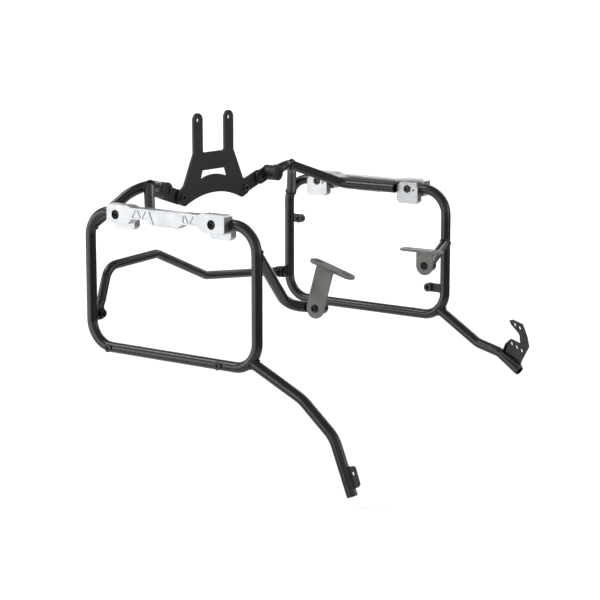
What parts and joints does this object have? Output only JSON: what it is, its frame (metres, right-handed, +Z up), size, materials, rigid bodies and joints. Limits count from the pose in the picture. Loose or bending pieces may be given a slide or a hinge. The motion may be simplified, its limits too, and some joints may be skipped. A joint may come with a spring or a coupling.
{
  "type": "pannier frame",
  "caption": "Motorbike pannier frame: welded tube loops on both sides with clamped case rails, rear bridge plate, crossbar, front brackets and lower struts.",
  "frame": {"origin": "midway between the two holes of the bridge plate's prongs, in the middle of the plate", "axes": "+X towards the motorbike's front, +Y to the rider's left, +Z up, as mounted on a level motorbike"},
  "size_m": [0.5705, 0.614, 0.5725],
  "materials": {
    "tube_coat": "semi-gloss black powder coat on steel tube",
    "plate_coat": "satin black powder coat on cut steel plate",
    "bracket_coat": "satin dark grey powder coat on folded steel",
    "rail_alloy": "blasted and clear anodised",
    "fastener_steel": "black zinc"
  },
  "bodies": {
    "root": {"right_loop": "tube_coat", "left_loop": "tube_coat", "right_rear_arm": "tube_coat", "left_rear_arm": "tube_coat", "right_top_brace": "tube_coat", "left_top_brace": "tube_coat", "right_arm_lug": "plate_coat", "left_arm_lug": "plate_coat", "right_front_arm": "tube_coat", "left_front_arm": "tube_coat", "right_strut": "tube_coat", "left_strut": "tube_coat", "right_strut_lug": "plate_coat", "left_strut_plate": "plate_coat", "right_crossbar_tab": "plate_coat", "left_crossbar_tab": "plate_coat", "left_rear_tab": "plate_coat", "left_front_tab": "plate_coat", "crossbar": "tube_coat", "bridge_plate": "plate_coat", "right_link_plate": "plate_coat", "left_link_plate": "plate_coat", "right_rail": "rail_alloy", "left_rail": "rail_alloy", "right_rear_jaw": "rail_alloy", "right_front_jaw": "rail_alloy", "left_rear_jaw": "rail_alloy", "left_front_jaw": "rail_alloy", "right_bracket": "bracket_coat", "left_bracket": "bracket_coat", "rail_bolts": "fastener_steel", "rail_nuts": "fastener_steel", "bridge_bolts": "fastener_steel", "bridge_nuts": "fastener_steel", "link_bolts": "fastener_steel", "link_nuts": "fastener_steel", "crossbar_bolts": "fastener_steel", "crossbar_nuts": "fastener_steel", "bracket_bolts": "fastener_steel", "bracket_nut": "fastener_steel", "right_loop_inserts": "fastener_steel", "left_loop_inserts": "fastener_steel"}
  },
  "joints": []
}
